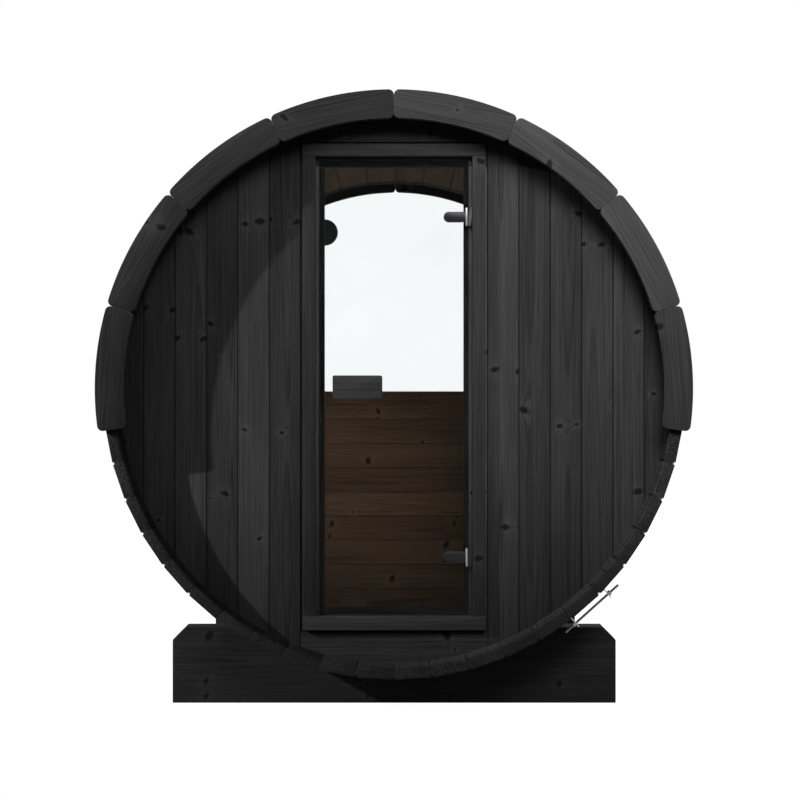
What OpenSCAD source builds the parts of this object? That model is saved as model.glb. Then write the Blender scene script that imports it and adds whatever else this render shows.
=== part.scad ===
// Barrel sauna of black stained boards: grooved staves round two end walls, a glass door
// in the front wall, a half-round window over the rear wall, two cradles and two steel bands.
// Millimetres, +Z up, the door faces -Y, the ground is z = 0.

/* [Barrel] */
// Distance from the axis to the outer flats of the staves
barrel_radius = 1008; // [990:1:1100]
// Thickness of a stave
stave_thickness = 41; // [36:0.5:50]
// Length of a stave
stave_length = 1770; // [1500:10:2600]
// Staves around the barrel
stave_count = 48; // [40:8:56]
// Width of the step along each outer edge of a stave
step_width = 4.5; // [3:0.5:8]
// Depth of the step along each outer edge of a stave
step_depth = 5; // [3:0.5:8]
// Depth of the groove that seats an end wall in the staves
croze_depth = 12; // [8:0.5:14]

/* [End trims] */
// Width of the curved boards on the stave ends
trim_width = 99.5; // [80:0.1:120]
// Thickness of the curved boards
trim_thickness = 28; // [18:0.5:36]
// Reach of the curved boards outside the stave flats
trim_overhang = 24; // [5:0.1:40]
// Corner radius of the curved boards
trim_corner = 19; // [6:0.5:30]
// Gap between two curved boards
trim_gap = 0.2; // [0.1:0.1:4]
// Curved boards on each side of the top
trim_side_count = 4; // [3:1:6]
// Angle from the top to the lower end of the last curved board
trim_end_angle = 98.35; // [80:0.05:110]

/* [End walls] */
// Thickness of an end wall
wall_thickness = 42; // [36:0.5:54]
// Distance from the stave ends to the outer face of an end wall
wall_inset = 94; // [60:1:140]
// Width of a wall board, joint to joint
board_pitch = 110.8; // [90:0.1:140]
// Thickness of the tongue on a board or stave
tongue_thickness = 9; // [6:0.5:12]
// Depth of the tongue on a board or stave
tongue_depth = 8; // [5:0.5:12]
// Bevel along the edges of a board or stave
board_bevel = 3; // [1:0.5:5]

/* [Rear window] */
// Height of the rail under the window
rail_height = 55; // [40:1:90]
// Height of the board under the rail
rail_board_height = 73.5; // [60:0.5:110]
// Thickness of the window glass
window_thickness = 8; // [6:0.5:12]

/* [Door] */
// Width of the door glass
door_width = 528; // [480:1:560]
// Thickness of the door glass
door_thickness = 8; // [6:0.5:12]
// Gap between the glass and the casing at the sides
door_side_gap = 13; // [8:0.5:18]
// Gap between the glass and the casing at the top
door_top_gap = 11; // [6:0.5:14]
// Gap between the glass and the casing at the bottom
door_bottom_gap = 6; // [5:0.5:12]
// Gap between the glass and the frame behind it
door_stop_gap = 5; // [5:0.5:8]

/* [Door frame] */
// Overlap of the frame behind the glass at the sides
stop_side_lap = 17.5; // [10:0.5:24]
// Overlap of the frame behind the glass at the top
stop_top_lap = 22; // [10:0.5:28]
// Overlap of the frame behind the glass at the bottom
stop_bottom_lap = 20; // [10:0.5:28]
// Height of the cross board over the door, in the middle
header_height = 109; // [60:0.1:160]
// Height of the cross board under the door, in the middle
sill_height = 120.7; // [60:0.1:160]
// Distance of the frame behind the outer face of the wall
frame_setback = 12; // [8:0.5:20]
// Width of the casing uprights
casing_side_width = 45; // [30:0.5:60]
// Height of the casing head
casing_top_width = 44; // [30:0.5:48]
// Height of the casing sill
casing_bottom_width = 49; // [30:0.5:54]
// Reach of the casing in front of the wall
casing_proud = 22; // [12:0.5:40]
// Shadow gap between the casing and the wall boards
casing_reveal = 7.6; // [3:0.1:12]

/* [Door fittings] */
// Width of a handle block
handle_width = 173; // [120:1:200]
// Height of a handle block
handle_height = 80; // [50:1:120]
// Depth of a handle block
handle_depth = 45; // [32:1:60]
// Distance from the free edge of the glass to a handle block
handle_inset = 49; // [20:1:80]
// Height of the handle's centre over the barrel axis
handle_rise = 6; // [-60:1:60]
// Radius of the finger grooves in a handle block
handle_groove = 13; // [6:0.5:15]
// Distance from the upper or lower edge of the glass to a hinge
hinge_end = 201; // [100:0.5:300]
// Length of a hinge tongue from its tip to the pin
hinge_tongue = 81; // [50:1:110]
// Height of a hinge tongue
hinge_height = 36; // [28:1:50]
// Thickness of a hinge tongue on the outside of the glass
hinge_thickness = 6; // [4:0.5:8]
// Thickness of a hinge tongue on the inside of the glass
hinge_back = 3; // [2:0.5:4]
// Length of a hinge barrel
hinge_barrel = 62; // [50:1:90]
// Outer radius of a hinge barrel
hinge_radius = 4.6; // [4.2:0.1:7]
// Radius of a hinge pin
hinge_pin = 2.5; // [1.5:0.1:3.5]
// Distance from the edge of the glass to the pin
hinge_inset = 8; // [6:0.5:12]
// Distance from the outside of the glass to the pin
hinge_offset = 9; // [8:0.5:11]
// Thickness of a hinge leaf
leaf_thickness = 4; // [2:0.5:5]
// Thickness of the ears at the ends of a hinge barrel
ear_thickness = 2.4; // [1.5:0.1:4]
// Radius of the round door catch
catch_radius = 46; // [30:1:60]
// Thickness of the round door catch
catch_thickness = 14; // [8:0.5:24]
// Distance of the door catch under the top of the glass
catch_drop = 250; // [150:1:400]

/* [Cradles] */
// Length of a cradle
cradle_length = 1604; // [1300:1:1800]
// Height of a cradle
cradle_height = 274; // [220:1:340]
// Thickness of a cradle
cradle_thickness = 90; // [50:1:140]
// Height of the lowest staves over the ground
saddle_height = 128; // [90:1:180]
// Chamfer on the upper corners of a cradle
cradle_chamfer = 46; // [20:1:90]
// Distance from the stave ends to the outer face of a cradle
cradle_inset = 222; // [180:1:400]

/* [Steel bands] */
// Width of a band
band_width = 25; // [15:1:40]
// Thickness of a band
band_thickness = 1.5; // [0.8:0.1:3]
// Distance from the stave ends to a band
band_inset = 152; // [60:1:160]
// Opening between the turned-up ends of a band
band_opening = 151; // [100:1:180]
// Reach of the turned-up ends over the staves
band_tab = 65; // [50:1:90]
// Thickness of the turned-up ends
band_tab_thickness = 4; // [2:0.5:6]
// Angle from the top to the middle of the band opening
band_angle = 138; // [100:0.5:150]
// Length of the threaded rod
rod_length = 254; // [200:1:300]
// Radius of the threaded rod
rod_radius = 5; // [3:0.5:6]
// Distance of the threaded rod from the stave flats
rod_offset = 50; // [30:1:60]
// Width of a nut across its flats
nut_width = 17; // [13:0.5:20]
// Height of a nut
nut_height = 10; // [6:0.5:14]

/* [Hidden] */
// gap between boards or staves that share a joint
joint_gap = 0.4;
// play between a wall or a pane and its groove
groove_play = 0.3;
// radial play between a hinge pin and its barrel
pin_play = 0.06;
// play between a hinge barrel and the ears
ear_play = 0.3;
// room round the hinge barrel in front of the leaf
leaf_play = 0.6;
// play between the staves and what bears on them
seat_play = 0.1;
// play between a rod and its hole
rod_play = 0.5;
// how far a cut runs past what it cuts
overrun = 20;
handle_corner = 6;
catch_chamfer = 2;
stave_group_count = 8;
arc_step_count = 16;
corner_step_count = 6;

stave_angle = 360 / stave_count;
group_stave_count = stave_count / stave_group_count;
inner_radius = barrel_radius - stave_thickness;
croze_radius = inner_radius + croze_depth;
wall_radius = croze_radius - groove_play;
axis_height = saddle_height + barrel_radius;
half_length = stave_length / 2;
wall_outer = half_length - wall_inset;
wall_inner = wall_outer - wall_thickness;
window_middle = (wall_outer + wall_inner) / 2;
window_groove = window_thickness + 2 * groove_play;

trim_outer = barrel_radius + trim_overhang;
trim_inner = trim_outer - trim_width;
trim_board_angle = trim_end_angle / trim_side_count;

door_half = door_width / 2;
frame_front = frame_setback - wall_outer;
glass_back = frame_front - door_stop_gap;
glass_front = glass_back - door_thickness;
frame_top = wall_radius - header_height - joint_gap;
frame_bottom = joint_gap + sill_height - wall_radius;
casing_outer_top = frame_top - casing_reveal;
casing_outer_bottom = frame_bottom + casing_reveal;
casing_top = casing_outer_top - casing_top_width;
casing_bottom = casing_outer_bottom + casing_bottom_width;
door_top = casing_top - door_top_gap;
door_bottom = casing_bottom + door_bottom_gap;
clear_half = door_half - stop_side_lap;
clear_top = door_top - stop_top_lap;
clear_bottom = door_bottom + stop_bottom_lap;
casing_half = door_half + door_side_gap;
casing_outer_half = casing_half + casing_side_width;
casing_front = -wall_outer - casing_proud;
frame_half = casing_outer_half + casing_reveal;
board_start = frame_half + joint_gap;
side_board_count = ceil((wall_radius - board_start) / board_pitch);
rear_board_start = rail_height + rail_board_height;
rear_board_count = ceil((wall_radius - rear_board_start) / board_pitch);

pin_x = door_half - hinge_inset;
pin_y = glass_front - hinge_offset;
leaf_start = pin_x + hinge_radius + leaf_play;
leaf_height = hinge_barrel + 2 * (ear_play + ear_thickness);
handle_left = handle_inset - door_half;
handle_middle = handle_left + handle_width / 2;

cradle_front_y = cradle_inset - half_length;
band_front_y = band_inset - half_length;
seat_radius = barrel_radius + seat_play;
band_outer = seat_radius + band_thickness;
band_half = band_opening / 2;
rod_height = barrel_radius + rod_offset;
band_tab_top = barrel_radius + band_tab;

function dir(angle) = [sin(angle), cos(angle)];

// corners of the many-sided barrel at a given distance from axis to flat
function barrel_corners(flat) =
    [for (k = [0 : stave_count - 1]) flat / cos(stave_angle / 2) * dir(k * stave_angle)];

// half width of a stave at a height over the axis
function stave_half(height) = height * tan(stave_angle / 2) - joint_gap / 2 / cos(stave_angle / 2);

// cross-section of a stave: stepped outer edges, bevelled inner edges, tongue and groove
function stave_points() =
    let (
        middle = inner_radius + croze_depth + (stave_thickness - croze_depth - step_depth) / 2,
        low = middle - tongue_thickness / 2,
        high = middle + tongue_thickness / 2,
        step = barrel_radius - step_depth,
        bevel = inner_radius + board_bevel,
        across = tongue_depth * cos(stave_angle / 2),
        down = tongue_depth * sin(stave_angle / 2)
    )
    [
        [board_bevel - stave_half(inner_radius), inner_radius],
        [stave_half(inner_radius) - board_bevel, inner_radius],
        [stave_half(bevel), bevel],
        [stave_half(low), low],
        [stave_half(low) + across, low - down],
        [stave_half(high) + across, high - down],
        [stave_half(high), high],
        [stave_half(step), step],
        [stave_half(step) - step_width, step],
        [stave_half(barrel_radius) - step_width, barrel_radius],
        [step_width - stave_half(barrel_radius), barrel_radius],
        [step_width - stave_half(step), step],
        [-stave_half(step), step],
        [-stave_half(high + joint_gap), high + joint_gap],
        [across - stave_half(high + joint_gap), high + joint_gap + down],
        [across - stave_half(low - joint_gap), low - joint_gap + down],
        [-stave_half(low - joint_gap), low - joint_gap],
        [-stave_half(bevel), bevel],
    ];

// cross-section of a wall board, its outer face on the first axis, tongue at the far side
function board_points(width) =
    let (
        body = width - joint_gap,
        low = (wall_thickness - tongue_thickness) / 2,
        high = (wall_thickness + tongue_thickness) / 2
    )
    [
        [board_bevel, 0],
        [body - board_bevel, 0],
        [body, board_bevel],
        [body, low],
        [body + tongue_depth, low],
        [body + tongue_depth, high],
        [body, high],
        [body, wall_thickness - board_bevel],
        [body - board_bevel, wall_thickness],
        [board_bevel, wall_thickness],
        [0, wall_thickness - board_bevel],
        [0, high + joint_gap],
        [tongue_depth, high + joint_gap],
        [tongue_depth, low - joint_gap],
        [0, low - joint_gap],
        [0, board_bevel],
    ];

function arc_points(centre, radius, from, to, steps) =
    [for (k = [0 : steps]) centre + radius * dir(from + (to - from) * k / steps)];

// outline of a curved trim board between two angles, with rounded corners
function trim_points(from, to) =
    let (
        edge = trim_corner + trim_gap / 2,
        outer_turn = asin(edge / (trim_outer - trim_corner)),
        inner_turn = asin(edge / (trim_inner + trim_corner)),
        outer_from = (trim_outer - trim_corner) * dir(from + outer_turn),
        outer_to = (trim_outer - trim_corner) * dir(to - outer_turn),
        inner_from = (trim_inner + trim_corner) * dir(from + inner_turn),
        inner_to = (trim_inner + trim_corner) * dir(to - inner_turn)
    )
    concat(
        arc_points(outer_from, trim_corner, from - 90, from + outer_turn, corner_step_count),
        arc_points([0, 0], trim_outer, from + outer_turn, to - outer_turn, arc_step_count),
        arc_points(outer_to, trim_corner, to - outer_turn, to + 90, corner_step_count),
        arc_points(inner_to, trim_corner, to + 90, to - inner_turn + 180, corner_step_count),
        arc_points([0, 0], trim_inner, to - inner_turn, from + inner_turn, arc_step_count),
        arc_points(inner_from, trim_corner, from + inner_turn + 180, from + 270, corner_step_count)
    );

function rounded_points(width, height, corner) =
    let (across = width / 2 - corner, up = height / 2 - corner)
    concat(
        arc_points([across, up], corner, 0, 90, corner_step_count),
        arc_points([across, -up], corner, 90, 180, corner_step_count),
        arc_points([-across, -up], corner, 180, 270, corner_step_count),
        arc_points([-across, up], corner, 270, 360, corner_step_count)
    );

// round-ended outline of a hinge tongue, its square end at the pin
function tongue_points() =
    let (radius = hinge_height / 2)
    concat(
        [[0, radius], [0, -radius]],
        arc_points([radius - hinge_tongue, 0], radius, 180, 360, arc_step_count)
    );

// height of a band end on its flat, in the frame of the band opening
function band_end(across, flat) =
    let (
        angle = band_angle + atan(across / flat),
        lean = stave_angle * (floor(angle / stave_angle) + 1 / 2) - band_angle
    )
    (flat - across * sin(lean)) / cos(lean);

// angles of the barrel corners that a side of a band passes, from one end of it to the other
function band_turns(across, flat) =
    let (
        edge = atan(across / flat),
        first = ceil((band_angle + edge) / stave_angle),
        last = floor((band_angle + 360 - edge) / stave_angle)
    )
    [for (k = [first : last]) k * stave_angle - band_angle];

// outline of a band with its turned-up ends, seen along the barrel, opening at the top
function band_points() =
    let (
        back = band_half + band_tab_thickness,
        inner_turns = band_turns(band_half, seat_radius),
        outer_turns = band_turns(back, band_outer),
        count = len(outer_turns),
        corner = 1 / cos(stave_angle / 2)
    )
    concat(
        [[band_half, band_tab_top], [band_half, band_end(band_half, seat_radius)]],
        [for (turn = inner_turns) seat_radius * corner * dir(turn)],
        [[-band_half, band_end(-band_half, seat_radius)], [-band_half, band_tab_top]],
        [[-back, band_tab_top], [-back, band_end(-back, band_outer)]],
        [for (k = [1 : count]) band_outer * corner * dir(outer_turns[count - k])],
        [[back, band_end(back, band_outer)], [back, band_tab_top]]
    );

// stands a flat outline up at the barrel axis, from y over a depth
module upright(y, depth) {
    translate([0, y + depth, axis_height]) rotate([90, 0, 0]) linear_extrude(depth) children();
}

// box between two x, two y and two heights over the barrel axis
module block(x, y, z) {
    translate([x[0], y[0], axis_height + z[0]]) cube([x[1] - x[0], y[1] - y[0], z[1] - z[0]]);
}

module end_disc(radius, y, depth) {
    upright(y, depth) circle(radius, $fn = 180);
}

module croze(y, depth) {
    upright(y, depth) polygon(barrel_corners(croze_radius));
}

// one eighth of the barrel, counted from the top towards +X
module stave_group(group, rear_middle, rear_groove) {
    difference() {
        for (k = [0 : group_stave_count - 1])
            upright(-half_length, stave_length)
                rotate(-stave_angle * (group * group_stave_count + k + 1 / 2))
                    polygon(stave_points());
        croze(-wall_outer - groove_play, wall_thickness + 2 * groove_play);
        croze(rear_middle - rear_groove / 2, rear_groove);
    }
}

module glazed_staves(group) {
    color([0.07, 0.065, 0.06]) stave_group(group, window_middle, window_groove);
}

module walled_staves(group) {
    color([0.07, 0.065, 0.06]) stave_group(group, window_middle, wall_thickness + 2 * groove_play);
}

module staves_crown_right() glazed_staves(0);
module staves_upper_right() glazed_staves(1);
module staves_lower_right() walled_staves(2);
module staves_floor_right() walled_staves(3);
module staves_floor_left() walled_staves(4);
module staves_lower_left() walled_staves(5);
module staves_upper_left() glazed_staves(6);
module staves_crown_left() glazed_staves(7);

module front_wall_right() {
    color([0.09, 0.085, 0.08]) intersection() {
        for (k = [0 : side_board_count - 1])
            translate([board_start + k * board_pitch, -wall_outer, axis_height - croze_radius])
                linear_extrude(2 * croze_radius) polygon(board_points(board_pitch));
        end_disc(wall_radius, -wall_outer - overrun, wall_thickness + 2 * overrun);
    }
}

module front_wall_left() {
    mirror([1, 0, 0]) front_wall_right();
}

module wall_infill(z) {
    color([0.09, 0.085, 0.08]) intersection() {
        block([-frame_half, frame_half], [-wall_outer, -wall_inner], z);
        end_disc(wall_radius, -wall_outer - overrun, wall_thickness + 2 * overrun);
    }
}

module header_board() wall_infill([frame_top + joint_gap, croze_radius]);
module sill_board() wall_infill([-croze_radius, frame_bottom - joint_gap]);

module frame_piece(x, z) {
    color([0.08, 0.075, 0.07]) block(x, [frame_front, -wall_inner], z);
}

module door_frame_left() frame_piece([-frame_half, -clear_half], [clear_bottom, clear_top]);
module door_frame_right() frame_piece([clear_half, frame_half], [clear_bottom, clear_top]);
module door_frame_head() frame_piece([-frame_half, frame_half], [clear_top, frame_top]);
module door_frame_sill() frame_piece([-frame_half, frame_half], [frame_bottom, clear_bottom]);

module casing_piece(x, z) {
    color([0.1, 0.095, 0.09]) block(x, [casing_front, frame_front], z);
}

module casing_left() casing_piece([-casing_outer_half, -casing_half], [casing_bottom, casing_top]);
module casing_right() casing_piece([casing_half, casing_outer_half], [casing_bottom, casing_top]);
module casing_head() casing_piece([-casing_outer_half, casing_outer_half], [casing_top, casing_outer_top]);
module casing_sill() casing_piece([-casing_outer_half, casing_outer_half], [casing_outer_bottom, casing_bottom]);

module door_glass() {
    color([0.75, 0.83, 0.85, 0.3])
        block([-door_half, door_half], [glass_front, glass_back], [door_bottom, door_top]);
}

// handle block with a finger groove down each end, its flat back at y
module handle_block(y, groove_y) {
    color([0.06, 0.055, 0.05]) difference() {
        translate([handle_middle, 0, handle_rise])
            upright(y, handle_depth) polygon(rounded_points(handle_width, handle_height, handle_corner));
        for (side = [-1, 1])
            translate([handle_middle + side * handle_width / 2, groove_y, axis_height + handle_rise])
                cylinder(r = handle_groove, h = handle_height + 2 * overrun, center = true, $fn = 48);
    }
}

module door_handle_outer() handle_block(glass_front - handle_depth, glass_front - handle_depth / 3);
module door_handle_inner() handle_block(glass_back, glass_back + handle_depth / 3);

// clamp on both sides of the glass with the barrel that turns on the pin
module hinge_tongue(rise) {
    color([0.72, 0.72, 0.71]) {
        difference() {
            union() {
                translate([pin_x, 0, rise])
                    upright(glass_front - hinge_thickness, hinge_thickness) polygon(tongue_points());
                translate([pin_x, pin_y, axis_height + rise])
                    cylinder(r = hinge_radius, h = hinge_barrel, center = true, $fn = 36);
            }
            translate([pin_x, pin_y, axis_height + rise])
                cylinder(r = hinge_pin + pin_play, h = hinge_barrel + 2 * overrun, center = true, $fn = 36);
        }
        intersection() {
            translate([pin_x, 0, rise]) upright(glass_back, hinge_back) polygon(tongue_points());
            block(
                [-clear_half, clear_half - door_stop_gap],
                [glass_back, glass_back + hinge_back],
                [rise - hinge_height, rise + hinge_height]
            );
        }
    }
}

module hinge_tongue_upper() hinge_tongue(door_top - hinge_end);
module hinge_tongue_lower() hinge_tongue(door_bottom + hinge_end);

// leaf on the casing with two ears and the pin between them
module hinge_leaf(rise) {
    half = leaf_height / 2;
    color([0.3, 0.3, 0.3]) {
        block([leaf_start, casing_half], [pin_y, pin_y + leaf_thickness], [rise - half, rise + half]);
        block([casing_half - leaf_thickness, casing_half], [pin_y, glass_back], [rise - half, rise + half]);
        for (end = [rise - half, rise + half - ear_thickness]) {
            block([pin_x, casing_half], [pin_y, pin_y + leaf_thickness], [end, end + ear_thickness]);
            translate([pin_x, pin_y, axis_height + end])
                cylinder(r = hinge_radius, h = ear_thickness, $fn = 36);
        }
        translate([pin_x, pin_y, axis_height + rise - half])
            cylinder(r = hinge_pin, h = leaf_height, $fn = 36);
    }
}

module hinge_leaf_upper() hinge_leaf(door_top - hinge_end);
module hinge_leaf_lower() hinge_leaf(door_bottom + hinge_end);

module door_catch() {
    color([0.03, 0.03, 0.03]) translate([-clear_half, -wall_inner, axis_height + door_top - catch_drop])
        rotate([-90, 0, 0]) rotate_extrude($fn = 72) polygon([
            [0, 0],
            [catch_radius, 0],
            [catch_radius, catch_thickness - catch_chamfer],
            [catch_radius - catch_chamfer, catch_thickness],
            [0, catch_thickness],
        ]);
}

// board lying across the rear wall, from a height under the axis downwards
module rear_board(drop, width) {
    translate([croze_radius, wall_outer, axis_height - drop])
        rotate([180, 90, 0]) linear_extrude(2 * croze_radius) polygon(board_points(width));
}

module rear_wall() {
    color([0.2, 0.14, 0.1]) intersection() {
        union() {
            rear_board(rail_height + joint_gap, rail_board_height - joint_gap);
            for (k = [0 : rear_board_count - 1])
                rear_board(rear_board_start + k * board_pitch, board_pitch);
        }
        end_disc(wall_radius, wall_inner - overrun, wall_thickness + 2 * overrun);
    }
}

// rail with a groove for the pane and a tongue for the board under it
module rear_window_rail() {
    half_tongue = tongue_thickness / 2;
    color([0.2, 0.14, 0.1]) difference() {
        intersection() {
            union() {
                block([-croze_radius, croze_radius], [wall_inner, wall_outer], [-rail_height, -groove_play]);
                block(
                    [-croze_radius, croze_radius],
                    [window_middle - half_tongue, window_middle + half_tongue],
                    [-rail_height - tongue_depth, -rail_height / 2]
                );
            }
            end_disc(wall_radius, wall_inner - overrun, wall_thickness + 2 * overrun);
        }
        block(
            [-croze_radius, croze_radius],
            [window_middle - window_groove / 2, window_middle + window_groove / 2],
            [-croze_depth - groove_play, overrun]
        );
    }
}

module rear_window_glass() {
    color([0.75, 0.83, 0.85, 0.3])
        upright(window_middle - window_thickness / 2, window_thickness)
            intersection() {
                circle(wall_radius, $fn = 180);
                translate([-croze_radius, -croze_depth]) square([2 * croze_radius, croze_radius + croze_depth]);
            }
}

module trim_half(y) {
    color([0.08, 0.075, 0.07]) for (k = [0 : trim_side_count - 1])
        upright(y, trim_thickness) polygon(trim_points(k * trim_board_angle, (k + 1) * trim_board_angle));
}

module front_trim_right() trim_half(-half_length - trim_thickness);
module rear_trim_right() trim_half(half_length);

module front_trim_left() {
    mirror([1, 0, 0]) front_trim_right();
}

module rear_trim_left() {
    mirror([1, 0, 0]) rear_trim_right();
}

// plank with a seat that follows the flats of the staves
module cradle(y) {
    half = cradle_length / 2;
    foot = -axis_height;
    top = cradle_height - axis_height;
    color([0.08, 0.08, 0.085]) upright(y, cradle_thickness) difference() {
        polygon([
            [-half, foot],
            [half, foot],
            [half, top - cradle_chamfer],
            [half - cradle_chamfer, top],
            [cradle_chamfer - half, top],
            [-half, top - cradle_chamfer],
        ]);
        polygon(barrel_corners(seat_radius));
    }
}

module cradle_front() cradle(cradle_front_y);
module cradle_rear() cradle(-cradle_front_y - cradle_thickness);

// cylinder along the rod, its middle at a distance from the middle of the band opening
module along_rod(y, middle, radius, length, sides) {
    translate([0, y + band_width / 2, axis_height]) rotate([0, band_angle, 0])
        translate([middle, 0, rod_height]) rotate([0, 90, 0])
            cylinder(r = radius, h = length, center = true, $fn = sides);
}

module band(y) {
    color([0.7, 0.7, 0.7]) difference() {
        upright(y, band_width) rotate(-band_angle) polygon(band_points());
        along_rod(y, 0, rod_radius + rod_play, rod_length, 36);
    }
}

module band_front() band(band_front_y);
module band_rear() band(-band_front_y - band_width);

module band_tightener(y) {
    nut_middle = band_half + band_tab_thickness + nut_height / 2;
    color([0.75, 0.75, 0.75]) {
        along_rod(y, 0, rod_radius, rod_length, 36);
        for (side = [-1, 1])
            along_rod(y, side * nut_middle, nut_width / 2 / cos(180 / 6), nut_height, 6);
    }
}

module band_tightener_front() band_tightener(band_front_y);
module band_tightener_rear() band_tightener(-band_front_y - band_width);

staves_crown_right();
staves_crown_left();
staves_upper_right();
staves_upper_left();
staves_lower_right();
staves_lower_left();
staves_floor_right();
staves_floor_left();
front_wall_left();
front_wall_right();
header_board();
sill_board();
door_frame_left();
door_frame_right();
door_frame_head();
door_frame_sill();
casing_left();
casing_right();
casing_head();
casing_sill();
door_glass();
door_handle_outer();
door_handle_inner();
hinge_tongue_upper();
hinge_tongue_lower();
hinge_leaf_upper();
hinge_leaf_lower();
door_catch();
rear_wall();
rear_window_rail();
rear_window_glass();
front_trim_left();
front_trim_right();
rear_trim_left();
rear_trim_right();
cradle_front();
cradle_rear();
band_front();
band_rear();
band_tightener_front();
band_tightener_rear();
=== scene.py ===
import math

import bmesh
import bpy
from mathutils import Matrix, Vector


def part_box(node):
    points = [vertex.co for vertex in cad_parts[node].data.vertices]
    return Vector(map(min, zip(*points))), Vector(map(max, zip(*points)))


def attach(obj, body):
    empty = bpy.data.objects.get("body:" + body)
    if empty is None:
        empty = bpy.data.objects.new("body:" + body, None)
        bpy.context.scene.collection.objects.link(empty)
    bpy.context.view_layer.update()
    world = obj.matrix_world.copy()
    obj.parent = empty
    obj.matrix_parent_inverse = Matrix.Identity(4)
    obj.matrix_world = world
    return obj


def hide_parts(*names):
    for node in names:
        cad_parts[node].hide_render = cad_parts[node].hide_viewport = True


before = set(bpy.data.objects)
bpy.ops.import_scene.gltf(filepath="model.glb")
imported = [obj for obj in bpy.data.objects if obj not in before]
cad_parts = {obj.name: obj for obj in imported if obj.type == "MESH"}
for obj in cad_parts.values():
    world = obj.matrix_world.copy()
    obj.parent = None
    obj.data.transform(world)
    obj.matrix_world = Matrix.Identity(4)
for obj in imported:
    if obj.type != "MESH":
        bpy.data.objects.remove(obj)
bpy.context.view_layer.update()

scene = bpy.context.scene
scene.view_settings.view_transform = "Standard"
axisHeight = 1.136      # barrel axis over the ground


# node helpers, shared by the materials and the geometry trees

def connect(tree, value, socket):
    if isinstance(value, bpy.types.NodeSocket):
        tree.links.new(value, socket)
    else:
        socket.default_value = value


def enabled(sockets, name):
    return next(s for s in sockets if s.name == name and s.enabled)


def addNode(tree, kind, inputs=None, **settings):
    node = tree.nodes.new(kind)
    for key, value in settings.items():
        setattr(node, key, value)
    for key, value in (inputs or {}).items():
        connect(tree, value, node.inputs[key] if isinstance(key, int) else enabled(node.inputs, key))
    return node


def calc(tree, operation, *values):
    return addNode(tree, "ShaderNodeMath", dict(enumerate(values)), operation=operation).outputs[0]


def times(tree, first, *factors):
    for factor in factors:
        first = calc(tree, "MULTIPLY", first, factor)
    return first


def stray(tree, value, luck, reach):
    # luck of 0 to 1 moves the value by up to half the reach either way
    return calc(tree, "MULTIPLY_ADD", calc(tree, "SUBTRACT", luck, 0.5), reach, value)


def combine(tree, x, y, z):
    return addNode(tree, "ShaderNodeCombineXYZ", {0: x, 1: y, 2: z}).outputs[0]


def split(tree, vector):
    return addNode(tree, "ShaderNodeSeparateXYZ", {0: vector}).outputs


def vectorCalc(tree, operation, *values):
    node = addNode(tree, "ShaderNodeVectorMath", dict(enumerate(values)), operation=operation)
    return node.outputs["Vector"]


def lengthOf(tree, first, second):
    both = {0: combine(tree, first, second, 0.0)}
    return addNode(tree, "ShaderNodeVectorMath", both, operation="LENGTH").outputs["Value"]


def scaled(tree, vector, factor):
    both = {0: vector, "Scale": factor}
    return addNode(tree, "ShaderNodeVectorMath", both, operation="SCALE").outputs["Vector"]


def channels(tree, colour):
    return addNode(tree, "ShaderNodeSeparateColor", {0: colour}).outputs


def ramp(tree, value, low, high, fromOut=0.0, toOut=1.0):
    ends = {"Value": value, "From Min": low, "From Max": high, "To Min": fromOut, "To Max": toOut}
    return addNode(tree, "ShaderNodeMapRange", ends, interpolation_type="SMOOTHSTEP").outputs[0]


def mixColour(tree, factor, first, second):
    return addNode(tree, "ShaderNodeMix", {0: factor, 6: first, 7: second}, data_type="RGBA").outputs[2]


def luckOf(tree, number):
    return addNode(tree, "ShaderNodeTexWhiteNoise", {"W": number}, noise_dimensions="1D").outputs["Value"]


def noise(tree, vector, scale=1.0, detail=2.0, roughness=0.5):
    settings = {"Vector": vector, "Scale": scale, "Detail": detail, "Roughness": roughness}
    return addNode(tree, "ShaderNodeTexNoise", settings)


def stretched(tree, vector, stretch, detail, roughness):
    return noise(tree, vectorCalc(tree, "MULTIPLY", vector, stretch), 1.0, detail, roughness)


def attribute(tree, name, output="Fac"):
    return addNode(tree, "ShaderNodeAttribute", attribute_name=name).outputs[output]


def objectPlace(tree):
    return addNode(tree, "ShaderNodeTexCoord").outputs["Object"]


def addBump(tree, shader, height, strength, distance):
    bump = addNode(tree, "ShaderNodeBump", {"Strength": strength, "Distance": distance, "Height": height})
    connect(tree, bump.outputs[0], shader.inputs["Normal"])


def newMaterial(name):
    material = bpy.data.materials.new(name)
    material.use_nodes = True
    tree = material.node_tree
    return material, tree, tree.nodes["Principled BSDF"]


# wood: fine rings round a wandering pith, fibres, rows of knots; "grain" runs along each board

knots = {
    "rowStep": 0.62,        # length of board to a row of knots
    "rowFrom": 0.18,        # least place of a row in that length, as a share
    "rowStray": 0.6,
    "stray": 0.05,          # of one knot from its row, as a share
    "columnStep": 0.052,    # width of board to a knot place
    "columnFrom": 0.3,
    "columnStray": 0.4,
    "seed": 3.0,
    "chance": 0.45,
    "size": 0.0145,
    "smallest": 0.3,        # share of the size, to which luck adds up to 1
    "faintest": 0.0002,     # radius where no knot was chosen
    "oval": 0.4,            # most by which a knot is drawn out across the board
    "core": 0.45,           # share of the radius with the full colour
    "spike": (1.7, 0.4),    # shrinks it along the board, draws it out across
    "spikeCore": 0.2,
    "spikeDepth": 0.6,
    "ragged": 0.006,        # unevenness of the outline
    "raggedScale": 110.0,
    "halo": 2.4,            # reach of the wood round a knot, in radii
    "pale": 0.32,           # how much lighter that wood is
    "ringBend": 0.007,      # how far rings give way
}
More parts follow.
